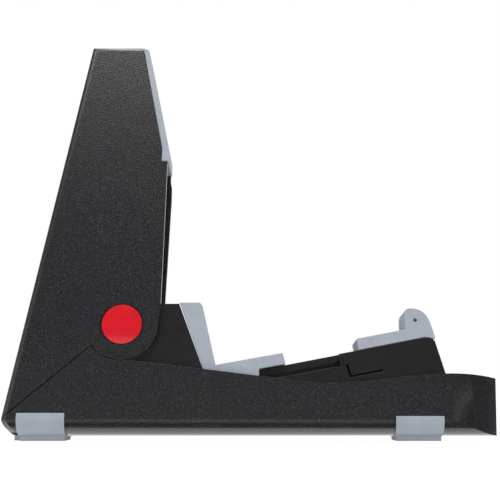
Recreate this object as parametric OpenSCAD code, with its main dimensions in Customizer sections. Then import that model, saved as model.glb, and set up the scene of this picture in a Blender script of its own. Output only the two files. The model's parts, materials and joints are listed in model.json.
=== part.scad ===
/* [Stance] */
// Angle in plan between each leg and the centre line
leg_splay = 40; // [38:0.5:42]
// Lean of the spine from the normal to the leg, seen square to one half
spine_lean = 9.8; // [9:0.1:10.5]
// Gap between the two halves when the stand is folded shut
book_gap = 0.6; // [0.4:0.1:1]

/* [Half] */
// Thickness of one half, over both side walls
half_t = 28; // [27:0.5:31]
// Wall of the moulded shells
wall = 2.5; // [2:0.1:3]
// Height of the upright above the leg line
upright_h = 301; // [290:1:310]
// Width of the upright at its top
upright_top_w = 39; // [37:0.5:41]
// Length of the leg from the rear end to the nose
leg_len = 340; // [335:0.5:345]
// Height of the underside of the leg above the leg line, at the outer face
leg_base = 2.4; // [2:0.1:3]
// Radius of the lower outer edge of the leg
leg_edge_r = 11; // [9:0.5:11.5]
// Radius of the corner that the two halves form at the back
back_edge_r = 6; // [5:0.5:7]
// Radius of the upper outer edge of the upright
top_edge_r = 5; // [3:0.5:5]
// Radius at which the outer face of the leg turns in towards the nose, in plan
nose_arc_r = 60; // [52:1:80]
// Gap along the seam between the upright and the leg
seam_gap = 0.7; // [0.5:0.1:1]

/* [Pivot] */
// Distance of the pivot from the rear end
pivot_u = 77.3; // [76:0.1:79]
// Height of the pivot above the leg line
pivot_w = 80.8; // [80:0.1:82]
// Radius of the round lobe of the upright
lobe_r = 25.5; // [25:0.1:26]
// Diameter of the pivot pin
pivot_pin_d = 9; // [7:0.5:11]
// Radius of the round cap over the pin
cap_r = 14; // [12:0.1:15]

/* [Arm] */
// Slope of the arm and its slide
slide_slope = 11; // [10.5:0.5:11.5]
// Depth of the arm, square to the leg line
arm_depth = 33; // [31:0.5:33.5]
// How far the arm slides in
slide_travel = 44; // [30:1:45]
// Thickness of the arm pad
arm_pad_t = 8.6; // [7:0.2:10]

/* [Feet] */
// Length of each foot along the leg
foot_len = 32.7; // [28:0.1:36]
// Thickness of the wrap on the outer wall
foot_t = 1; // [0.8:0.1:1.4]
// Height of the rear wrap above the leg line
rear_foot_top = 18.5; // [16:0.5:22]
// Height of the front wrap above the leg line
front_foot_top = 16.4; // [15:0.1:20]
// Height of the underside of the leg above the ground
sole_h = 3.2; // [3:0.1:4]

/* [Hidden] */

$fn = 36;
black = [0.17, 0.17, 0.18];
grey = [0.62, 0.65, 0.69];
red = [0.84, 0.11, 0.17];
steel = [0.7, 0.71, 0.73];

// Sides of the circles that need more or fewer than the rest
dome_sides = 120;
arc_sides = 160;
screw_sides = 20;

// Reach of cutting shapes, past everything
far = 400;
// How far a rounding crosses the faces it meets
round_slip = 0.01;

// Clearances
// Gap of a sliding or turning piece to the walls on either side
side_fit = 0.6;
// Gap of pieces that never move against each other
seat_fit = 0.1;
// Gap over and under the sliding arm
slide_fit = 0.35;
pin_fit = 0.05;
keel_fit = 0.3;
bevel_fit = 0.15;
knuckle_fit = 0.7;
knuckle_gap = 0.4;
disc_fit = 0.2;

// Roll of each half, which keeps its leg level while the spine leans
roll = asin(tan(spine_lean) * tan(leg_splay));
// Half of the angle between the two halves
book_half = acos(cos(roll) * cos(leg_splay));

// Walls and spaces across one half
inner_v = half_t - wall;
fill_v0 = wall + side_fit;
fill_v1 = half_t - wall - side_fit;
mid_v = half_t / 2;

// Height of the ground under the leg line
ground_z = leg_base * cos(roll) - sole_h;
// Centre of the lower edge's rounding, over the level underside
function under_at(v, inset) = leg_base + v * tan(roll) + inset / cos(roll);
edge_w = under_at(leg_edge_r, leg_edge_r);

// Spine: the back line crosses the leg line here, and the axis lies inside the back corner
back_u = -6.4;
spine_v = half_t + book_gap / 2;
corner_y = back_edge_r - spine_v;
corner_x = corner_y / tan(book_half);
hinge_inset = back_edge_r - corner_x;
spine_u = back_u + hinge_inset / cos(spine_lean);
function back_at(w) = back_u + w * tan(spine_lean);
// A point given across and up the spine, in the half's frame
function spine_point(x, y, up) = [
    spine_u + x * cos(spine_lean) + up * sin(spine_lean),
    spine_v + y,
    up * cos(spine_lean) - x * sin(spine_lean)
];
knuckle_r = 5.4;
hinge_pin_d = 4;
knuckle_len = 15;
hinge_lower = 92;
hinge_upper_drop = 63;
hinge_upper = upright_h - hinge_upper_drop;

// Upright
pad_drop = 96.3;
pad_low_w = upright_h - pad_drop;
pad_straight = 11.3;
pad_bend_w = pad_low_w + pad_straight;
pad_t = 5.4;
pad_top_drop = 1.6;
pad_side = 0.4;
front_reach = 24.1;
lip_reach = 28.8;
lobe_reach = 26.8;
front_u = pivot_u + front_reach;
lip_u = pivot_u + lip_reach;
lobe_front_u = pivot_u + lobe_reach;
lobe_in = 0.4;
top_nip = 1.5;
top_nip_slope = 47;
top_recess = [10.9, 25.4];
top_recess_t = 1.4;
top_recess_v = 12;
top_front_u = back_at(upright_h) + upright_top_w;
// Lip of the inner wall in front of the outer one, measured from lip_u
lip_points = [
    [-1, pad_low_w - 0.3], [0.9, pad_low_w - 10.3], [0.9, pad_low_w - 20.1],
    [-2.1, pivot_w + 16.2], [-12, pivot_w + 11.2], [-12, pad_low_w - 0.3]
];
stiffener_rise = [14, 42];
stiffener_w = [for (rise = stiffener_rise) pad_bend_w + rise];
// Front face of the upright shell behind its pad
function front_at(w) = w < pad_bend_w
    ? front_u
    : front_u + (top_front_u - front_u) * (w - pad_bend_w) / (upright_h - pad_bend_w);

// Pivot
cap_seat = 1.2;
cap_crown = 1.6;
// Width of the sunk ring round the cap
cap_ring = 1.4;
washer_r = 10;
dome_r = (cap_r * cap_r + cap_crown * cap_crown) / (2 * cap_crown);

// Seam between the upright and the leg, up to the lobe
seam_low = [3.5, 19.9];
seam_angle = 40.8;
function seam_at(u) =
    seam_low[1] + (u - seam_low[0]) * tan(seam_angle) + seam_gap / 2 / cos(seam_angle);

// Leg
rear_end_u = -0.6;
rear_r = 19;
rear_wall_u = 16;
// Height up the spine at which the back corner of the leg reaches furthest back
rearmost_up = 10.4;
nose_lean = 3;
nose_run = 37;
nose_arc_u = leg_len - nose_run;
nose_inner_r = 6;
dip_back = 140;
dip_u = leg_len - dip_back;
rise_back = 78;
rise_u = leg_len - rise_back;
// Run and height of the points that draw the dip's curve and the rise's curve
dip_curve = [[22, 38], [38, 39.2]];
rise_curve = [[28, 46.4], [50, 46.8]];
leg_low_w = 40.8;
leg_rise_w = 42.2;
leg_end_w = 44.4;
lobe_leg_w = 56.2;

// Slide line, the top of the arm, through the end of the cradle pad
slide_u = 173.4;
slide_w = 49.3;
function slide_at(u) = slide_w + (u - slide_u) * tan(slide_slope);

// Cradle block and its pad
tower_back_u = pivot_u - 17.5;
tower_back_w = pivot_w - 8;
tower_top_w = 96.4;
tower_lobe_r = 18;
wing_foot_u = 136;
wing_slant = 19;
wing_top = [wing_foot_u - wing_slant, 97.5];
tower_under_wing = 12;
tower_front_u = wing_foot_u - tower_under_wing;
deck_t = 3.6;
deck_end_u = 186;
deck_side = 3.2;
pad_seat = 0.15;
pad_crest = [[wing_foot_u - 4.4, 97.4], [wing_foot_u - 2.8, 95.4]];
vee_run = 6.9;
vee_at = [wing_foot_u + vee_run, 52.5];
pad_end = [189.8, 61.1];
pad_end_u = 191.7;
skirt_h = 8;
skirt_inset = 2;
skirt_back_u = wing_foot_u + skirt_inset;

// Slide rail
rail_start_u = 152;
rail_end_back = 34;
rail_end_u = leg_len - rail_end_back;
rail_w = 15;

// Slide arm; its outlines are measured back from its front end and up from the slide line
arm_front_back = 35.5;
arm_front_u = leg_len - arm_front_back;
arm_rear_u = 169;
function on_slide(back, up) = [arm_front_u - back, slide_at(arm_front_u - back) + up];
groove_rest = 12.4;
groove_end_u = slide_u + slide_travel * cos(slide_slope) + groove_rest;
groove_depth = 3.4;
groove_h = skirt_h + 0.5;
slot_h = [4.8, groove_h];
slot_depth = 2.2;
// Notch at the end of the outer slot
notch = [-2.3, 0.6];
notch_depth = 7;
notch_over = 0.4;
keel_w = 4;
keel_h = 3;
// The lower rear corner of the arm is level, clear of the trough's floor when the arm is slid in
trough_w = edge_w - sqrt(pow(leg_edge_r - wall, 2) - pow(leg_edge_r - fill_v0, 2));
arm_low_w = trough_w + slide_travel * sin(slide_slope) + slide_fit;
arm_low_u = max(arm_rear_u + 1, slide_u + (arm_low_w + arm_depth - slide_w) / tan(slide_slope));
keel_u = [arm_low_u + 1, arm_front_u - 4.5];
nose_start = [15.5, 0];
nose_points = [nose_start, [8.2, -3.5], [1.9, -28.3]];
hollow_points = [[18.5, -4.5], [12.5, -10.5], [5.5, -far]];
post_v = 6.5;
post_points = [
    [24.6, -3.6], [25.6, 16.6], [23.2, 18.8], [19.2, 17.6], [15.6, 12.7], [12.6, 0.1], [13.2, -5.8]
];
tongue_slot = 1.5;
tongue_depth = 3;
tongue = [[69.9, -9.2], [67.5, -17.5], [46.1, -17.4]];
arm_pin_at = [21, 13.9];
arm_pin_d = 2.4;
arm_pin_in = 1.2;

// Arm pad and end stop
arm_pad_side = 0.2;
arm_pad_rear = [61.5, 63.2];
stop_back = 28.3;
stop_back_curve = [[28.8, 22], [28.7, 24], [24.2, 23.1]];
stop_top_curve = [[16.1, 21.5], [12.2, 17], [9.7, 7.2]];
stop_toe = [[7.5, -1.5], [8.3, -2.7]];
stop_toe_curve = [[9.5, -1.3], [12, 0], [15.3, 0.3]];

// Feet
rear_foot_u = 24.6;
front_foot_back = 57.5;
front_foot_u = leg_len - front_foot_back;
foot_v1 = half_t - 1;
sole_v = [8, 24];
sole_flare = 1.5;
sole_end = 0.8;

// Screws through the inner wall
screw_head_r = 3;
screw_head_t = 1.4;
screw_under = 0.2;
screw_r = 1.5;
screw_len = 12;
screw_end_gap = 0.5;
boss_r = 5;
tower_screw_inset = 8;
rail_screw_inset = [44, 8];
block_screws = [[pivot_u - 3, 26], [tower_front_u - tower_screw_inset, 30]];
rail_screws = [[rail_end_u - rail_screw_inset[0], 14], [rail_end_u - rail_screw_inset[1], 20]];

// Point on a cubic curve
function bezier(a, b, c, d, t) =
    pow(1 - t, 3) * a + 3 * pow(1 - t, 2) * t * b + 3 * (1 - t) * t * t * c + pow(t, 3) * d;
function curve(a, b, c, d, n) = [for (i = [1 : n]) bezier(a, b, c, d, i / n)];
// The same curve through points measured from the arm's front end
function slide_curve(a, rest, n) =
    curve(a, on_slide(rest[0][0], rest[0][1]), on_slide(rest[1][0], rest[1][1]),
        on_slide(rest[2][0], rest[2][1]), n);

// Puts a shape drawn in the side view between two distances from the outer face
module across(v0, v1) {
    translate([0, v1, 0])
        rotate([90, 0, 0])
            linear_extrude(v1 - v0)
                children();
}

// Puts a shape drawn across the leg between two places along it
module along(u0, u1) {
    translate([u0, 0, 0])
        rotate([90, 0, 90])
            linear_extrude(u1 - u0)
                children();
}

// Puts a shape drawn across the spine into the half's frame
module on_spine(from, to) {
    translate([spine_u, spine_v, 0])
        rotate([0, spine_lean, 0])
            translate([0, 0, from])
                linear_extrude(to - from)
                    children();
}

// Stands a plan up through the whole part
module up_from_plan() {
    translate([0, 0, -far])
        linear_extrude(2 * far)
            children();
}

// Moves a half from its own frame to where it stands, right or left
module stand_half(side) {
    mirror([0, side == "left" ? 1 : 0, 0])
        translate([origin_x, 0, spine_height])
            rotate([0, 0, -leg_splay])
                rotate([-roll, 0, 0])
                    translate([-spine_u, -spine_v, 0])
                        children();
}

// Height of the spine's foot above the ground
spine_height = -spine_v * sin(roll) - ground_z;

// Plan extents of a standing half, from which the stand is centred
function plan_x(p) =
    (p[0] - spine_u) * cos(leg_splay)
    + (p[1] - spine_v) * cos(roll) * sin(leg_splay)
    + p[2] * sin(roll) * sin(leg_splay);
front_x = plan_x([leg_len - nose_inner_r, half_t - nose_inner_r, leg_end_w]) + nose_inner_r;
back_x = plan_x(spine_point(corner_x, corner_y, rearmost_up)) - back_edge_r;
origin_x = -(front_x + back_x) / 2;

// What a rounding takes off a square corner that lies at the origin
module corner_cut(r) {
    difference() {
        translate([-1, -1])
            square(r + 1);
        translate([r, r])
            circle(r + round_slip);
    }
}

// Region above the seam line, moved up by a distance
module above_seam(up) {
    translate(seam_low)
        rotate(seam_angle)
            translate([-far, up])
                square([2 * far, far]);
}

// What lies behind the round back corner and the bevel, drawn in by a distance
module behind_spine(inset) {
    difference() {
        translate([corner_x - far, -far])
            square([far, 2 * far]);
        translate([corner_x, corner_y])
            circle(back_edge_r - inset + round_slip);
    }
    bevel_section(max(inset, 0));
}

// Part behind the spine axis that is left out, so that the halves can open
module bevel_section(inset) {
    start = inset * tan(book_half / 2);
    drop = bevel_fit + inset / cos(book_half);
    bevel_len = 2 * hinge_inset;
    polygon([
        [start, start * tan(book_half) - drop],
        [-bevel_len, -bevel_len * tan(book_half) - drop],
        [-bevel_len, far],
        [start, far]
    ]);
}

// Upright

module upright_outline() {
    nip_u = back_at(upright_h) + top_nip;
    reach = 3 * hinge_inset;
    polygon([
        [nip_u - reach, seam_at(nip_u - reach)],
        [nip_u - reach, upright_h - reach * tan(top_nip_slope)],
        [nip_u, upright_h],
        [top_front_u, upright_h],
        [front_u, pad_bend_w],
        [front_u, pad_low_w],
        [lip_u, pad_low_w],
        [lobe_front_u, pivot_w + lobe_r / 2],
        [pivot_u + lobe_r - lobe_in, pivot_w - 4],
        [pivot_u - lobe_r / 2, seam_at(pivot_u - lobe_r / 2)]
    ]);
}

module upright_lip() {
    across(inner_v, half_t)
        polygon([for (p = lip_points) [lip_u + p[0], p[1]]]);
}

// Shallow recess in the top, open to the outer face
module top_recess() {
    across(-1, top_recess_v)
        translate([back_at(upright_h) + top_recess[0], upright_h - top_recess_t])
            square([top_recess[1] - top_recess[0], far]);
}

// Inside of the upright, open in front and below
module upright_hollow() {
    difference() {
        across(wall, inner_v)
            translate([-far, -far])
                square([2 * far, far + upright_h - wall]);
        on_spine(-far, far)
            behind_spine(wall);
    }
}

module upright_stiffeners() {
    difference() {
        for (w = stiffener_w)
            across(wall / 2, half_t - wall / 2)
                polygon([
                    [back_at(w), w],
                    [back_at(w + wall), w + wall],
                    [front_at(w + wall) - wall, w + wall],
                    [front_at(w) - wall, w]
                ]);
        on_spine(-far, far)
            behind_spine(wall / 2);
    }
}

// Lengths of the spine that one half's knuckles take
function own_knuckles(side) = [
    for (mid = [hinge_lower, hinge_upper])
        for (i = side == "right" ? [-1, 1] : [0])
            mid + i * (knuckle_len + knuckle_gap)
];

module knuckles(side, r, grow) {
    for (mid = own_knuckles(side))
        on_spine(mid - knuckle_len / 2 - grow, mid + knuckle_len / 2 + grow)
            circle(r);
}

module hinge_bore() {
    for (mid = [hinge_lower, hinge_upper])
        on_spine(mid - 2 * knuckle_len, mid + 2 * knuckle_len)
            circle(hinge_pin_d / 2 + pin_fit);
}

module upright_shell(side) {
    other = side == "right" ? "left" : "right";
    color(black)
        difference() {
            union() {
                difference() {
                    union() {
                        across(0, half_t)
                            upright_outline();
                        pivot_disc(0, half_t, lobe_r);
                        upright_lip();
                    }
                    on_spine(-far, far)
                        behind_spine(0);
                    upright_hollow();
                    along(-far, far)
                        translate([0, upright_h])
                            rotate(-90)
                                corner_cut(top_edge_r);
                    top_recess();
                }
                upright_stiffeners();
                knuckles(side, knuckle_r, 0);
            }
            knuckles(other, knuckle_r + knuckle_fit, 1.25 * knuckle_gap);
            hinge_bore();
            pivot_disc(0, half_t, pivot_pin_d / 2);
            pivot_disc(-1, cap_seat, cap_r + cap_ring);
            pivot_disc(half_t - cap_seat, half_t + 1, washer_r + disc_fit);
        }
}

module pivot_disc(v0, v1, r) {
    across(v0, v1)
        translate([pivot_u, pivot_w])
            circle(r);
}

// Pad on the front of the upright
module upright_pad() {
    top_w = upright_h - pad_top_drop;
    color(grey)
        across(pad_side, half_t - pad_side)
            polygon([
                [front_at(top_w) + seat_fit, top_w],
                [front_at(top_w) + pad_t - 0.8, top_w - 1.4],
                [front_u + pad_t, pad_bend_w - 2],
                [front_u + pad_t, pad_low_w + seat_fit],
                [front_u + seat_fit, pad_low_w + seat_fit],
                [front_u + seat_fit, pad_bend_w]
            ]);
}

// Pivot

module pivot_pin() {
    color(steel)
        pivot_disc(cap_seat, half_t - cap_seat, pivot_pin_d / 2);
}

module pivot_cap() {
    color(red)
        translate([pivot_u, cap_seat, pivot_w])
            rotate([90, 0, 0])
                rotate_extrude() {
                    square([cap_r, cap_seat]);
                    intersection() {
                        translate([0, cap_seat])
                            square([cap_r, cap_crown]);
                        translate([0, cap_seat + cap_crown - dome_r])
                            circle(dome_r, $fn = dome_sides);
                    }
                }
}

module pivot_washer() {
    color(black)
        pivot_disc(half_t - cap_seat, half_t, washer_r);
}

// Leg

function leg_top() = concat(
    [[pivot_u, lobe_leg_w], [dip_u, leg_low_w]],
    curve(
        [dip_u, leg_low_w], [dip_u, 0] + dip_curve[0], [dip_u, 0] + dip_curve[1],
        [rise_u, leg_rise_w], 6
    ),
    curve(
        [rise_u, leg_rise_w], [rise_u, 0] + rise_curve[0], [rise_u, 0] + rise_curve[1],
        [leg_len, leg_end_w], 8
    )
);

module leg_outline() {
    difference() {
        polygon(concat(
            [[rear_end_u, 0], [rear_end_u, far], [pivot_u, far]],
            leg_top(),
            [[leg_len - nose_lean, leg_base], [leg_len - nose_lean, 0]]
        ));
        translate([rear_end_u, leg_base])
            corner_cut(rear_r);
        above_seam(-seam_gap / 2);
        translate([pivot_u, pivot_w])
            circle(lobe_r + seam_gap);
    }
}

// Section across the leg, drawn in by a distance, out to a distance from the outer face
module leg_section(inset, to_v) {
    difference() {
        polygon([
            [inset, under_at(inset, inset)],
            [inset, far],
            [to_v, far],
            [to_v, under_at(to_v, inset)]
        ]);
        difference() {
            polygon([
                [leg_edge_r - far, edge_w],
                [leg_edge_r, edge_w],
                [leg_edge_r + far * sin(roll), edge_w - far * cos(roll)],
                [leg_edge_r - far, edge_w - far * cos(roll)]
            ]);
            translate([leg_edge_r, edge_w])
                circle(leg_edge_r - inset + round_slip);
        }
    }
}

// Plan of the nose: its outer face turns in along an arc
module nose_plan(inset) {
    difference() {
        translate([-far, inset])
            square([far + leg_len, half_t - 2 * inset]);
        difference() {
            translate([nose_arc_u, -far])
                square([far, far + nose_arc_r]);
            translate([nose_arc_u, nose_arc_r])
                circle(nose_arc_r - inset + round_slip, $fn = arc_sides);
        }
        translate([leg_len, half_t - inset])
            rotate(180)
                corner_cut(nose_inner_r - inset / 2);
    }
}

// Outer form of the leg before it is hollowed
module leg_solid() {
    difference() {
        intersection() {
            across(0, half_t)
                leg_outline();
            along(0, leg_len)
                leg_section(0, half_t + 1);
            up_from_plan()
                nose_plan(0);
        }
        on_spine(-far, far)
            behind_spine(0);
    }
}

module leg_hollow() {
    difference() {
        intersection() {
            along(rear_wall_u, leg_len - nose_lean - wall)
                leg_section(wall, inner_v);
            up_from_plan()
                nose_plan(wall);
        }
        on_spine(-far, far)
            behind_spine(wall);
    }
}

module leg_shell() {
    color(black)
        difference() {
            leg_solid();
            leg_hollow();
            leg_screw_places()
                screw_hole();
        }
}

// Seats a side-view shape inside the trough of the leg
module in_trough(v0, v1) {
    intersection() {
        across(v0, v1)
            children();
        along(0, leg_len)
            leg_section(wall + seat_fit, half_t);
    }
}

// Cradle block, the tower in the leg that turns on the pivot pin

module tower_outline() {
    difference() {
        union() {
            polygon([
                [tower_back_u, 0],
                [tower_back_u, tower_back_w],
                [pivot_u - 14, tower_top_w],
                [wing_top[0] - pad_seat, tower_top_w],
                [wing_foot_u - pad_seat, slide_at(wing_foot_u) + deck_t],
                [tower_front_u, slide_at(tower_front_u)],
                [tower_front_u, 0]
            ]);
            translate([pivot_u, pivot_w])
                circle(tower_lobe_r);
        }
        translate([pivot_u, pivot_w])
            circle(pivot_pin_d / 2 + pin_fit);
    }
}

module deck_outline() {
    rear_u = tower_front_u - 2;
    polygon([
        [rear_u, slide_at(rear_u) + slide_fit],
        [rear_u, slide_at(rear_u) + deck_t],
        [deck_end_u, slide_at(deck_end_u) + deck_t],
        [deck_end_u, slide_at(deck_end_u) + slide_fit]
    ]);
}

module cradle_block() {
    color(black)
        difference() {
            union() {
                in_trough(fill_v0, fill_v1)
                    tower_outline();
                across(fill_v0 + deck_side, fill_v1 - deck_side)
                    deck_outline();
                block_screw_places()
                    boss();
            }
            block_screw_places()
                screw_core();
        }
}

// Cradle pad, a soft vee over the tower and the deck

module cradle_pad_outline() {
    polygon([
        wing_top,
        pad_crest[0],
        pad_crest[1],
        vee_at,
        pad_end,
        [pad_end_u, slide_at(pad_end_u) + slide_fit],
        [slide_u, slide_at(slide_u) + slide_fit],
        [slide_u, slide_at(slide_u) - skirt_h],
        [skirt_back_u, slide_at(skirt_back_u) - skirt_h],
        [skirt_back_u, slide_at(skirt_back_u) + deck_t],
        [wing_foot_u, slide_at(wing_foot_u) + deck_t]
    ]);
}

// Space for the deck and the arm under the pad, between the two skirts
module under_pad_outline() {
    end_u = deck_end_u + seat_fit;
    polygon([
        [tower_front_u, slide_at(tower_front_u) - 2 * skirt_h],
        [tower_front_u, slide_at(tower_front_u) + deck_t + seat_fit],
        [end_u, slide_at(end_u) + deck_t + seat_fit],
        [end_u, slide_at(end_u) - 2 * skirt_h]
    ]);
}

module cradle_pad() {
    color(grey)
        difference() {
            across(fill_v0, fill_v1)
                cradle_pad_outline();
            across(fill_v0 + deck_side - seat_fit, fill_v1 - deck_side + seat_fit)
                under_pad_outline();
        }
}

// Slide rail, the sloped guide under the arm

module slide_rail() {
    top = arm_depth + slide_fit;
    color(black)
        difference() {
            in_trough(mid_v - rail_w / 2, mid_v + rail_w / 2)
                polygon([
                    [rail_start_u, 0],
                    [rail_start_u, slide_at(rail_start_u) - top],
                    [rail_end_u, slide_at(rail_end_u) - top],
                    [rail_end_u, 0]
                ]);
            across(mid_v - keel_w / 2 - keel_fit, mid_v + keel_w / 2 + keel_fit)
                polygon([
                    [0, slide_at(0) - top - keel_h],
                    [far, slide_at(far) - top - keel_h],
                    [far, far],
                    [0, far]
                ]);
            rail_screw_places()
                screw_core();
        }
}

// Slide arm

module arm_outline() {
    polygon(concat(
        [[arm_rear_u, slide_at(arm_rear_u)]],
        [for (p = nose_points) on_slide(p[0], p[1])],
        [on_slide(0, -arm_depth), [arm_low_u, slide_at(arm_low_u) - arm_depth], [arm_rear_u, arm_low_w]]
    ));
}

// Post that stands up inside the end stop
module arm_post_outline() {
    polygon([for (p = post_points) on_slide(p[0], p[1])]);
}

// Band along the slide line, between two depths under it
module slide_band(to_u, top, bottom) {
    polygon([
        [0, slide_at(0) - bottom],
        [to_u, slide_at(to_u) - bottom],
        [to_u, slide_at(to_u) - top],
        [0, slide_at(0) - top]
    ]);
}

// Side grooves in which the skirts of the cradle pad run, each with a slot under its top rail
module arm_grooves() {
    for (v = [[0, fill_v0 + groove_depth], [fill_v1 - groove_depth, half_t]])
        across(v[0], v[1])
            slide_band(groove_end_u, -far, groove_h);
    for (v = [[0, fill_v0 + groove_depth + slot_depth], [fill_v1 - groove_depth - slot_depth, half_t]])
        across(v[0], v[1])
            slide_band(groove_end_u, slot_h[0], slot_h[1]);
    across(0, fill_v0 + notch_depth)
        intersection() {
            slide_band(groove_end_u + notch[1], slot_h[0] - notch_over, slot_h[1] + notch_over);
            translate([groove_end_u + notch[0], 0])
                square(far);
        }
}

// Hollow inside the front of the arm, open below, on either side of the keel
module arm_hollow() {
    rear_u = groove_end_u + wall;
    for (v = [[fill_v0 + wall, mid_v - keel_w / 2], [mid_v + keel_w / 2, fill_v1 - wall]])
        across(v[0], v[1])
            polygon(concat(
                [[rear_u, -far], [rear_u, slide_at(rear_u) - wall]],
                [for (p = hollow_points) on_slide(p[0], p[1])]
            ));
}

module keel() {
    across(mid_v - keel_w / 2, mid_v + keel_w / 2)
        polygon([
            [keel_u[0], slide_at(keel_u[0]) - arm_depth - keel_h],
            [keel_u[0], slide_at(keel_u[0]) - arm_depth + 1],
            [keel_u[1], slide_at(keel_u[1]) - arm_depth + 1],
            [keel_u[1], slide_at(keel_u[1]) - arm_depth - keel_h]
        ]);
}

// Slot that frees one side of the snap tongue in the side wall
module slot_between(a, b) {
    run = b - a;
    translate(a)
        rotate(atan2(run[1], run[0]))
            translate([-tongue_slot / 2, -tongue_slot / 2])
                square([norm(run) + tongue_slot, tongue_slot]);
}

module tongue_slots() {
    across(fill_v0 - 1, fill_v0 + tongue_depth)
        for (i = [0, 1])
            slot_between(
                on_slide(tongue[i][0], tongue[i][1]),
                on_slide(tongue[i + 1][0], tongue[i + 1][1])
            );
}

module slide_arm() {
    color(black)
        difference() {
            union() {
                difference() {
                    across(fill_v0, fill_v1)
                        arm_outline();
                    arm_grooves();
                    arm_hollow();
                }
                across(post_v, half_t - post_v)
                    arm_post_outline();
                keel();
            }
            tongue_slots();
            arm_pin_bore();
        }
}

// Pad and end stop on the arm, one soft piece

module arm_pin_bore() {
    across(-1, half_t + 1)
        translate(on_slide(arm_pin_at[0], arm_pin_at[1]))
            circle(arm_pin_d / 2);
}

module arm_pad_outline() {
    back = on_slide(stop_back, arm_pad_t);
    crest = on_slide(stop_back_curve[2][0], stop_back_curve[2][1]);
    toe = on_slide(stop_toe[1][0], stop_toe[1][1]);
    polygon(concat(
        [on_slide(arm_pad_rear[0], seat_fit), on_slide(arm_pad_rear[1], arm_pad_t), back],
        slide_curve(back, stop_back_curve, 5),
        slide_curve(crest, stop_top_curve, 6),
        [on_slide(stop_toe[0][0], stop_toe[0][1]), toe],
        slide_curve(toe, stop_toe_curve, 3)
    ));
}

module arm_pad() {
    color(grey)
        difference() {
            across(fill_v0 - arm_pad_side, fill_v1 + arm_pad_side)
                arm_pad_outline();
            across(post_v, half_t - post_v)
                arm_post_outline();
            arm_pin_bore();
        }
}

module arm_pin() {
    color(steel)
        across(fill_v0 + arm_pin_in, fill_v1 - arm_pin_in)
            translate(on_slide(arm_pin_at[0], arm_pin_at[1]))
                circle(arm_pin_d / 2);
}

// Feet

// Height of the ground at a distance from the outer face, in the half's frame
function ground_at(v) = (ground_z + v * sin(roll)) / cos(roll);

module foot_wrap(from_u, to_u, top) {
    along(from_u, to_u)
        intersection() {
            leg_section(-foot_t, foot_v1);
            translate([-far, -far])
                square([far + foot_v1, far + top]);
        }
}

module foot(mid_u, top) {
    color(grey)
        difference() {
            union() {
                foot_wrap(mid_u - foot_len / 2, mid_u + foot_len / 2, top);
                along(mid_u - foot_len / 2 + sole_end, mid_u + foot_len / 2 - sole_end)
                    polygon([
                        [sole_v[0], ground_at(sole_v[0])],
                        [sole_v[1], ground_at(sole_v[1])],
                        [sole_v[1] + sole_flare, edge_w],
                        [sole_v[0] - sole_flare, edge_w]
                    ]);
            }
            along(-far, far)
                leg_section(0, half_t);
            on_spine(-far, far)
                behind_spine(-foot_t);
        }
}

// Screws that hold the cradle block and the slide rail to the inner wall

module block_screw_places() {
    for (at = block_screws)
        place_screw(at)
            children();
}

module rail_screw_places() {
    for (at = rail_screws)
        place_screw(at)
            children();
}

module leg_screw_places() {
    block_screw_places()
        children();
    rail_screw_places()
        children();
}

// Turns a screw drawn point down so that it enters from the inner face
module place_screw(at) {
    translate([at[0], half_t, at[1]])
        rotate([-90, 0, 0])
            children();
}

module screw_hole() {
    translate([0, 0, -screw_head_t])
        cylinder(r = screw_head_r + disc_fit, h = screw_head_t + 1, $fn = screw_sides);
    translate([0, 0, -wall - 1])
        cylinder(r = screw_r, h = wall + 1, $fn = screw_sides);
}

module screw_core() {
    translate([0, 0, -screw_len])
        cylinder(r = screw_r, h = screw_len, $fn = screw_sides);
}

module boss() {
    translate([0, 0, -wall - side_fit])
        cylinder(r = boss_r, h = side_fit, $fn = screw_sides);
}

module leg_screws() {
    color(steel)
        leg_screw_places() {
            translate([0, 0, -screw_head_t])
                cylinder(r = screw_head_r, h = screw_head_t - screw_under, $fn = screw_sides);
            translate([0, 0, screw_end_gap - screw_len])
                cylinder(r = screw_r, h = screw_len - screw_end_gap - screw_under, $fn = screw_sides);
        }
}

// Spine pins

module spine_pin(mid) {
    reach = 1.5 * knuckle_len + knuckle_gap;
    color(steel)
        on_spine(mid - reach, mid + reach)
            circle(hinge_pin_d / 2);
}

module side_piece(side, name) {
    if (name == "upright_shell") upright_shell(side);
    if (name == "upright_pad") upright_pad();
    if (name == "leg_shell") leg_shell();
    if (name == "cradle_block") cradle_block();
    if (name == "cradle_pad") cradle_pad();
    if (name == "slide_rail") slide_rail();
    if (name == "slide_arm") slide_arm();
    if (name == "arm_pad") arm_pad();
    if (name == "arm_pin") arm_pin();
    if (name == "pivot_pin") pivot_pin();
    if (name == "pivot_cap") pivot_cap();
    if (name == "pivot_washer") pivot_washer();
    if (name == "rear_foot") foot(rear_foot_u, rear_foot_top);
    if (name == "front_foot") foot(front_foot_u, front_foot_top);
    if (name == "leg_screws") leg_screws();
}

side_pieces = [
    "upright_shell", "upright_pad", "leg_shell", "cradle_block", "cradle_pad", "slide_rail",
    "slide_arm", "arm_pad", "arm_pin", "pivot_pin", "pivot_cap", "pivot_washer", "rear_foot",
    "front_foot", "leg_screws"
];

for (side = ["right", "left"])
    for (name = side_pieces)
        stand_half(side)
                side_piece(side, name);

stand_half("right") spine_pin(hinge_upper);  // upper_spine_pin
stand_half("right") spine_pin(hinge_lower);  // lower_spine_pin
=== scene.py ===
"""The looks of the folding guitar stand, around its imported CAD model."""

import json
import math

import bmesh
import bpy
from mathutils import Matrix, Vector

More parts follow.
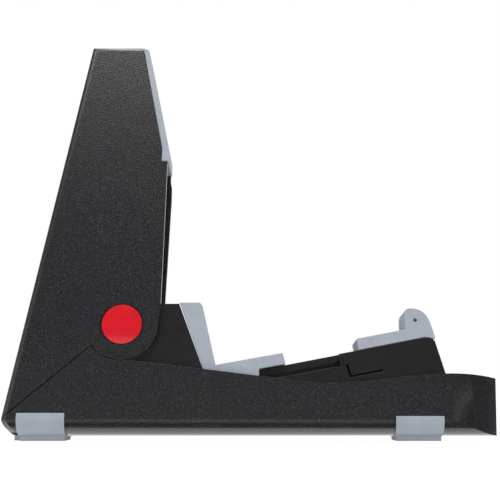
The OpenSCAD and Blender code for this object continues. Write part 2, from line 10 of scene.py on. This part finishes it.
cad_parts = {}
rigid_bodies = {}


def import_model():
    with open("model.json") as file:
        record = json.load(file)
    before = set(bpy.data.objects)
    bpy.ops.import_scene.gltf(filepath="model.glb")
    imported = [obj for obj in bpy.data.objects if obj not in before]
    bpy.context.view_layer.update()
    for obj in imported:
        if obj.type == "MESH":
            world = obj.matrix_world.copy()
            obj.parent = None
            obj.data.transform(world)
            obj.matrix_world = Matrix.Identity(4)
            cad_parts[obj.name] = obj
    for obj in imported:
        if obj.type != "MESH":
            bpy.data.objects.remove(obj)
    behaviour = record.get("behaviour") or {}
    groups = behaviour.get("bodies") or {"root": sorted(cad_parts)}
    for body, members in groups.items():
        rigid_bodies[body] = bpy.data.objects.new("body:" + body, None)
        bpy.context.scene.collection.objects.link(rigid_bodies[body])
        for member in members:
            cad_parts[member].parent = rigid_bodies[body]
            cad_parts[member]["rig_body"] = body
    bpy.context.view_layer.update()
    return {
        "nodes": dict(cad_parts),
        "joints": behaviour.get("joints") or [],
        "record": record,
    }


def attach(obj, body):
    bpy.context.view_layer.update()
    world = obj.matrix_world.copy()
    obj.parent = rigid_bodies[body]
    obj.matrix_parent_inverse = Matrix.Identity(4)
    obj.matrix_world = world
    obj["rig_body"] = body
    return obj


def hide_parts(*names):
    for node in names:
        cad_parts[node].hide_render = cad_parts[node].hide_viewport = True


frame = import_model()

# The frame of one half, as in the CAD: along the leg, inward from its outer face, and up, in mm
SPLAY = math.radians(40)
LEAN = math.radians(9.8)
ROLL = math.asin(math.tan(LEAN) * math.tan(SPLAY))
PIVOT = Vector((77.3, 14, 80.8))
MM = 0.001
UP = Vector((0, 0, 1))

# Camera, as placed against the photograph: the point along the leg that it faces, and its place, in mm
CAMERA_U = 167
CAMERA_DISTANCE = 500
CAMERA_RISE = 31
CAMERA_PITCH = math.radians(5)
CAMERA_SHIFT = 0.16
SENSOR = 36
FOCAL_PX = 735
FRAME_PX = 500
NEAR_CLIP = 10 * MM

# Finish of the edges
HARD_EDGE = 0.4 * MM
SOFT_EDGE = 0.8 * MM
FOOT_EDGE = 0.3 * MM
EDGE_STEPS = 4
BEVEL_SAMPLES = 6
SHARP_ANGLE = math.radians(40)
FLAT_ANGLE = math.radians(0.6)
WELD_GAP = 0.002 * MM

# Leather grain of the black mouldings, and the stops of its speck colours: darker specks of its own
# tone, and lighter specks that are painted glints
GRAIN_CELL = 1.6 * MM
GRAIN_RIM = 0.3
GRAIN_DEPTH = 0.06 * MM
GRAIN_STRENGTH = 0.9
FINE_CELL = 0.8 * MM
FINE_SHARE = 0.8
SPECK_AND_GLINT_CELL = 1.15 * MM
SPECK_AND_GLINT_STOPS = (0.3, 0.56, 0.72)

# Stops of a colour that drifts between two tones
TONE_STOPS = (0.3, 0.7)

# Colours, linear
BLACK = (0.0115, 0.0118, 0.0135)
DARK_GRAIN = (0.0075, 0.0078, 0.0095)
# Painted glint: the lighter specks on the black grain stand in for highlights off its tips
PAINTED_GLINT = (0.031, 0.0315, 0.035)
INNER_BLACK = (0.0085, 0.0085, 0.0095)
RUBBER = (0.262, 0.288, 0.326)
RED = (0.48, 0.0065, 0.0135)
STEEL = (0.55, 0.55, 0.57)
WHITE = (1.0, 1.0, 1.0)
FLOOR_GREY = (0.9, 0.9, 0.9)

# Studio, in metres. The floor lies a little low, to keep its face off the soles' faces
MIDDLE = Vector((0, 0, 0.12))
FLOOR_HALF = 4.0
FLOOR_GAP = 0.2 * MM
NEAR_FLAG_WIDTH = 3.0
FAR_FLAG_WIDTH = 1.3

# Strengths of the world's light, of the floor's glow, and of a black card
AMBIENT = 0.7
FLOOR_GLOW = 1.1
FLOOR_GLOW_SHARE = 0.85
FLAG = 0

# A direction this near to straight up has no sideways of its own
STRAIGHT_UP = 0.99


def near_half():
    """Takes a point of the right half, in mm, to where it stands, in metres."""
    pivot = next(j for j in frame["joints"] if j["name"] == "right_leg_fold")["pos_m"]
    turn = Matrix.Rotation(-SPLAY, 4, "Z") @ Matrix.Rotation(-ROLL, 4, "X")
    return Matrix.Translation(pivot) @ turn @ Matrix.Scale(MM, 4) @ Matrix.Translation(-PIVOT)


# The view's directions, along the near leg and square to it, and the leg's point that it faces
right_half = near_half()
view_along = (right_half.to_3x3() @ Vector((1, 0, 0))).normalized()
view_inward = UP.cross(view_along)
leg_foot = right_half @ Vector((CAMERA_U, 0, 0))


# Materials


class Nodes:
    """A material's node tree, with short calls to add and join nodes."""

    def __init__(self, name):
        self.material = bpy.data.materials.new(name)
        self.material.use_nodes = True
        self.tree = self.material.node_tree
        self.shader = self.tree.nodes["Principled BSDF"]

    def add(self, kind, **values):
        node = self.tree.nodes.new(kind)
        for key, value in values.items():
            setattr(node, key, value)
        return node

    def join(self, source, target):
        self.tree.links.new(source, target)

    def value(self, socket, number):
        self.shader.inputs[socket].default_value = number

    def feed(self, socket, source):
        self.join(source, self.shader.inputs[socket])

    def object_point(self):
        return self.add("ShaderNodeTexCoord").outputs["Object"]

    def noise(self, cell, detail=3.0):
        """A noise whose features are about one cell across, in metres."""
        node = self.add("ShaderNodeTexNoise")
        self.join(self.object_point(), node.inputs["Vector"])
        node.inputs["Scale"].default_value = 1 / cell
        node.inputs["Detail"].default_value = detail
        return node.outputs["Fac"]

    def ramp(self, source, places, colours):
        """A colour ramp over a value, with a colour at each place."""
        node = self.add("ShaderNodeValToRGB")
        elements = node.color_ramp.elements
        for place in places[len(elements):]:
            elements.new(place)
        for element, place, colour in zip(elements, places, colours):
            element.position = place
            element.color = (*colour, 1)
        self.join(source, node.inputs["Fac"])
        return node.outputs["Color"]

    def span(self, source, low, high):
        """Maps 0 to 1 onto low to high."""
        node = self.add("ShaderNodeMapRange")
        node.inputs["To Min"].default_value = low
        node.inputs["To Max"].default_value = high
        self.join(source, node.inputs["Value"])
        return node.outputs["Result"]

    def math(self, operation, a, b):
        node = self.add("ShaderNodeMath", operation=operation)
        for socket, item in zip(node.inputs, (a, b)):
            if isinstance(item, (int, float)):
                socket.default_value = item
            else:
                self.join(item, socket)
        return node.outputs["Value"]

    def rounded(self):
        """The surface's normal, turned round its hard edges as a small radius would."""
        node = self.add("ShaderNodeBevel", samples=BEVEL_SAMPLES)
        node.inputs["Radius"].default_value = HARD_EDGE
        return node.outputs["Normal"]

    def bump(self, height, depth, strength=1.0, under=None):
        """A bump of a real depth, in metres, over another one."""
        node = self.add("ShaderNodeBump")
        node.inputs["Strength"].default_value = strength
        node.inputs["Distance"].default_value = depth
        self.join(height, node.inputs["Height"])
        if under is not None:
            self.join(under, node.inputs["Normal"])
        return node.outputs["Normal"]

    def mottle(self, colour, spread, noise, places=TONE_STOPS):
        """A base colour that drifts between a darker and a lighter tone."""
        tones = [tuple(c * share for c in colour) for share in (1 - spread, 1 + spread)]
        self.feed("Base Color", self.ramp(noise, places, tones))

    def vary_roughness(self, cell, low, high):
        self.feed("Roughness", self.span(self.noise(cell), low, high))


def grained_black():
    """Moulded plastic with a fine leather grain, random darker specks of its own tone, and lighter
    specks painted in as the grain's glints.
    """
    n = Nodes("grained_black")
    cells = n.add("ShaderNodeTexVoronoi", feature="DISTANCE_TO_EDGE")
    n.join(n.object_point(), cells.inputs["Vector"])
    cells.inputs["Scale"].default_value = 1 / GRAIN_CELL
    pebble = n.add("ShaderNodeMapRange", interpolation_type="SMOOTHSTEP")
    pebble.inputs["From Max"].default_value = GRAIN_RIM
    n.join(cells.outputs["Distance"], pebble.inputs["Value"])
    fine = n.math("MULTIPLY", n.noise(FINE_CELL), FINE_SHARE)
    height = n.math("ADD", pebble.outputs["Result"], fine)
    n.feed("Normal", n.bump(height, GRAIN_DEPTH, GRAIN_STRENGTH, under=n.rounded()))
    # The dark end of this ramp is the plastic's own speckled tone; the light end is painted glints on
    # the grain
    specks_and_glints = n.noise(SPECK_AND_GLINT_CELL, detail=1.0)
    n.feed("Base Color", n.ramp(specks_and_glints, SPECK_AND_GLINT_STOPS, (DARK_GRAIN, BLACK, PAINTED_GLINT)))
    n.vary_roughness(14 * MM, low=0.34, high=0.42)
    n.value("Specular IOR Level", 0.5)
    n.value("Coat Weight", 1.0)
    n.value("Coat Roughness", 0.26)
    n.value("Coat IOR", 1.35)
    return n.material


def smooth_black():
    """Moulded plastic of the inner pieces, smoother than the shells."""
    n = Nodes("smooth_black")
    n.mottle(INNER_BLACK, spread=0.15, noise=n.noise(6 * MM, detail=4.0))
    n.vary_roughness(3 * MM, low=0.33, high=0.45)
    n.feed("Normal", n.bump(n.noise(0.5 * MM), depth=0.012 * MM, under=n.rounded()))
    n.value("Specular IOR Level", 0.6)
    return n.material


def grey_rubber():
    """Soft matt rubber with a faint mould texture and slight shade changes."""
    n = Nodes("grey_rubber")
    n.mottle(RUBBER, spread=0.05, noise=n.noise(12 * MM, detail=4.0), places=(0.25, 0.75))
    n.vary_roughness(2 * MM, low=0.55, high=0.7)
    fine = n.bump(n.noise(0.35 * MM), depth=0.015 * MM)
    n.feed("Normal", n.bump(n.noise(18 * MM, detail=2.0), depth=0.25 * MM, under=fine))
    n.value("Specular IOR Level", 0.35)
    return n.material


def glossy_red():
    """Domed glossy cap."""
    n = Nodes("glossy_red")
    n.mottle(RED, spread=0.04, noise=n.noise(8 * MM))
    n.vary_roughness(4 * MM, low=0.2, high=0.28)
    n.value("Specular IOR Level", 0.3)
    n.value("Coat Weight", 0.2)
    n.value("Coat Roughness", 0.1)
    return n.material


def plated_steel():
    """Zinc-plated steel with fine turning marks."""
    n = Nodes("plated_steel")
    n.mottle(STEEL, spread=0.12, noise=n.noise(1.5 * MM))
    n.vary_roughness(1 * MM, low=0.25, high=0.4)
    n.value("Metallic", 1.0)
    return n.material


MATERIALS = {
    "black_shell": grained_black(),
    "black_inner": smooth_black(),
    "grey_rubber": grey_rubber(),
    "red_gloss": glossy_red(),
    "steel": plated_steel(),
}


def slots():
    """The material slot of each node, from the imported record."""
    return {part["node"]: part["material_slot"] for part in frame["record"]["subparts"]}


def paint(piece, slot_name):
    """Gives a piece one material."""
    if not piece.material_slots:
        piece.data.materials.append(MATERIALS[slot_name])
    for slot in piece.material_slots:
        slot.link = "OBJECT"
        slot.material = MATERIALS[slot_name]


# Rounded edges


def join_flats(piece):
    """Shades a mesh smooth and joins the facets that lie in one plane."""
    for polygon in piece.data.polygons:
        polygon.use_smooth = True
    weld = piece.modifiers.new("weld", "WELD")
    weld.merge_threshold = WELD_GAP
    merge = piece.modifiers.new("flats", "DECIMATE")
    merge.decimate_type = "DISSOLVE"
    merge.angle_limit = FLAT_ANGLE


def even_shading(piece):
    """Keeps the shading of the large faces flat beside small ones."""
    shade = piece.modifiers.new("shade", "WEIGHTED_NORMAL")
    shade.keep_sharp = True


def keep_edges(piece):
    """Smooths the curves of a hard piece and splits its sharp edges; the black materials round those
    edges in their shading.
    """
    join_flats(piece)
    split = piece.modifiers.new("edges", "EDGE_SPLIT")
    split.split_angle = SHARP_ANGLE
    even_shading(piece)


def round_edges(piece, radius):
    """Rounds the edges of a soft piece."""
    join_flats(piece)
    bevel = piece.modifiers.new("edges", "BEVEL")
    bevel.width = radius
    bevel.segments = EDGE_STEPS
    bevel.limit_method = "ANGLE"
    bevel.angle_limit = SHARP_ANGLE
    bevel.harden_normals = True
    bevel.use_clamp_overlap = False
    even_shading(piece)


def soft_copy(node, slot_name, radius):
    """A rounded closed mesh that stands in for a soft CAD solid."""
    source = frame["nodes"][node]
    mesh = source.data.copy()
    mesh.name = node + "_soft"
    bm = bmesh.new()
    bm.from_mesh(mesh)
    bmesh.ops.remove_doubles(bm, verts=bm.verts, dist=WELD_GAP)
    bmesh.ops.dissolve_limit(
        bm, angle_limit=FLAT_ANGLE, verts=bm.verts, edges=bm.edges, delimit={"NORMAL"}
    )
    bm.to_mesh(mesh)
    bm.free()
    mesh.materials.clear()
    piece = bpy.data.objects.new(node + "_soft", mesh)
    bpy.context.scene.collection.objects.link(piece)
    paint(piece, slot_name)
    round_edges(piece, radius)
    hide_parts(node)
    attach(piece, source["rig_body"])
    return piece


SOFT = ("upright_pad", "cradle_pad", "arm_pad", "rear_foot", "front_foot")
for name, node_slot in slots().items():
    short_name = name.split("_", 1)[1]
    if short_name in SOFT:
        is_foot = short_name.endswith("foot")
        pad = soft_copy(name, node_slot, FOOT_EDGE if is_foot else SOFT_EDGE)
    else:
        paint(frame["nodes"][name], node_slot)
        keep_edges(frame["nodes"][name])


# Stage, light and camera


def any_ray(tree, kinds):
    """1 for a ray of one of these kinds, 0 for the others."""
    path = tree.nodes.new("ShaderNodeLightPath")
    seen = path.outputs[kinds[0]]
    for kind in kinds[1:]:
        either = tree.nodes.new("ShaderNodeMath")
        either.operation = "MAXIMUM"
        tree.links.new(seen, either.inputs[0])
        tree.links.new(path.outputs[kind], either.inputs[1])
        seen = either.outputs["Value"]
    return seen


def part_of(tree, source, share):
    """A share of a value."""
    node = tree.nodes.new("ShaderNodeMath")
    node.operation = "MULTIPLY"
    node.inputs[1].default_value = share
    tree.links.new(source, node.inputs[0])
    return node.outputs["Value"]


def plain_shader(tree, kind, colour, strength=None):
    """A shader of one colour, with a strength if it gives light."""
    node = tree.nodes.new(kind)
    node.inputs["Color"].default_value = (*colour, 1)
    if strength is not None:
        node.inputs["Strength"].default_value = strength
    return node.outputs[0]


def mix_out(tree, share, first, second, output_kind):
    """Shows a share of the second shader and the rest of the first."""
    mix = tree.nodes.new("ShaderNodeMixShader")
    for source, socket in zip((share, first, second), mix.inputs):
        tree.links.new(source, socket)
    output = tree.nodes.new(output_kind)
    tree.links.new(mix.outputs["Shader"], output.inputs["Surface"])


def make_world():
    """White to the camera and in reflections, and softer light on the object."""
    world = bpy.data.worlds.new("studio")
    world.use_nodes = True
    tree = world.node_tree
    tree.nodes.clear()
    seen = any_ray(tree, ("Is Camera Ray", "Is Glossy Ray", "Is Transmission Ray"))
    light = plain_shader(tree, "ShaderNodeBackground", WHITE, AMBIENT)
    white = plain_shader(tree, "ShaderNodeBackground", WHITE, 1.0)
    mix_out(tree, seen, light, white, "ShaderNodeOutputWorld")
    return world


def floor_material():
    """White to the camera and in reflections, with a part of the shadow kept in view."""
    material = bpy.data.materials.new("floor")
    material.use_nodes = True
    tree = material.node_tree
    tree.nodes.clear()
    seen = any_ray(tree, ("Is Camera Ray", "Is Glossy Ray"))
    share = part_of(tree, seen, FLOOR_GLOW_SHARE)
    matt = plain_shader(tree, "ShaderNodeBsdfDiffuse", FLOOR_GREY)
    glow = plain_shader(tree, "ShaderNodeEmission", WHITE, FLOOR_GLOW)
    mix_out(tree, share, matt, glow, "ShaderNodeOutputMaterial")
    return material


def square(name, half_side, material):
    """A flat square on the origin, facing up."""
    mesh = bpy.data.meshes.new(name)
    bm = bmesh.new()
    bmesh.ops.create_grid(bm, x_segments=1, y_segments=1, size=half_side)
    bm.to_mesh(mesh)
    bm.free()
    mesh.materials.append(material)
    piece = bpy.data.objects.new(name, mesh)
    bpy.context.scene.collection.objects.link(piece)
    return piece


def make_floor():
    """A wide floor just under the soles."""
    floor = square("floor", FLOOR_HALF, floor_material())
    floor.location.z = -FLOOR_GAP


def from_middle(along=0.0, inward=0.0, up=0.0):
    """A place in the studio, by its distances from the stand's middle."""
    return MIDDLE + view_along * along + view_inward * inward + UP * up


def aim(thing, place, target):
    """Puts a lamp or camera at a place, facing its target."""
    thing.location = place
    thing.rotation_euler = (target - place).to_track_quat("-Z", "Y").to_euler()


def softbox(name, place, target, size, power, mirrored=True):
    """A soft lamp; one that isn't mirrored leaves no reflection of itself."""
    lamp = bpy.data.lights.new(name, "AREA")
    lamp.shape = "RECTANGLE"
    lamp.size, lamp.size_y = size
    lamp.energy = power
    thing = bpy.data.objects.new(name, lamp)
    bpy.context.scene.collection.objects.link(thing)
    thing.visible_glossy = mirrored
    aim(thing, place, target)


def card_material(strength):
    """Black, or glowing white at a strength above 0."""
    material = bpy.data.materials.new("card")
    material.use_nodes = True
    shader = material.node_tree.nodes["Principled BSDF"]
    shader.inputs["Base Color"].default_value = (0, 0, 0, 1)
    shader.inputs["Specular IOR Level"].default_value = 0
    shader.inputs["Emission Color"].default_value = (*WHITE, 1)
    shader.inputs["Emission Strength"].default_value = strength
    return material


def reflector(name, place, normal, size, strength):
    """A studio card that only reflections see: a black flag, or a bright card."""
    card = square(name, half_side=0.5, material=card_material(strength))
    facing = normal.normalized()
    across = view_along if facing.z > STRAIGHT_UP else UP.cross(facing).normalized()
    turn = Matrix((across, facing.cross(across).normalized(), facing)).transposed()
    card.matrix_world = Matrix.Translation(place) @ turn.to_4x4() @ Matrix.Diagonal((*size, 1, 1))
    card.visible_camera = False
    card.visible_diffuse = False
    card.visible_transmission = False
    card.visible_shadow = False


def floor_card(name, left, right, near, far, height, strength):
    """A card over the floor, along the leg and towards the camera, in mm from leg_foot."""
    middle = leg_foot + (view_along * (left + right) - view_inward * (near + far)) * MM / 2
    middle.z = height * MM
    reflector(name, middle, UP, ((right - left) * MM, (near - far) * MM), strength)


def make_camera():
    """The photograph's view."""
    camera = bpy.data.cameras.new("camera")
    camera.sensor_width = SENSOR
    camera.lens = SENSOR * FOCAL_PX / FRAME_PX
    camera.shift_y = CAMERA_SHIFT
    camera.clip_start = NEAR_CLIP
    thing = bpy.data.objects.new("camera", camera)
    bpy.context.scene.collection.objects.link(thing)
    place = leg_foot - view_inward * CAMERA_DISTANCE * MM + UP * CAMERA_RISE * MM
    look = view_inward * math.cos(CAMERA_PITCH) + UP * math.sin(CAMERA_PITCH)
    aim(thing, place, place + look)
    bpy.context.scene.camera = thing


scene = bpy.context.scene
scene.view_settings.view_transform = "Standard"
scene.world = make_world()
make_floor()
make_camera()

# The black cards keep the white room out of the walls, and the bright one lights the near leg's edge
front = from_middle(inward=-1.1, up=0.55)
for side_y, width in ((1, NEAR_FLAG_WIDTH), (-1, FAR_FLAG_WIDTH)):
    place = Vector((front.x, side_y * front.y, front.z))
    reflector("wall_flag", place, MIDDLE - place, size=(width, 1.2), strength=FLAG)
side = from_middle(along=1.15, inward=-0.4, up=0.35)
reflector("side_flag", side, MIDDLE - side, size=(2.3, 1.1), strength=FLAG)
floor_card("floor_flag", left=-260, right=150, near=60, far=2, height=1.0, strength=FLAG)
floor_card("nose_flag", left=150, right=500, near=150, far=-150, height=1.0, strength=FLAG)
floor_card("bounce", left=-260, right=400, near=1, far=-25, height=1.5, strength=1.75)

softbox("key", from_middle(along=-0.3, inward=-0.4, up=1.25), MIDDLE, size=(1.0, 0.6), power=9)
softbox("top", from_middle(along=0.2, up=1.3), MIDDLE, size=(1.5, 0.3), power=7)
softbox("back_left", from_middle(along=-1.2, up=0.5), MIDDLE, size=(0.5, 1.0), power=4)
right_side = from_middle(along=1.1, inward=0.15, up=0.3)
softbox("right_side", right_side, MIDDLE, size=(0.4, 1.0), power=5, mirrored=False)
low_front = from_middle(inward=-1, up=-0.06)
straight_in = low_front + view_inward
softbox("low_front", low_front, straight_in, size=(1.6, 0.08), power=3.4, mirrored=False)
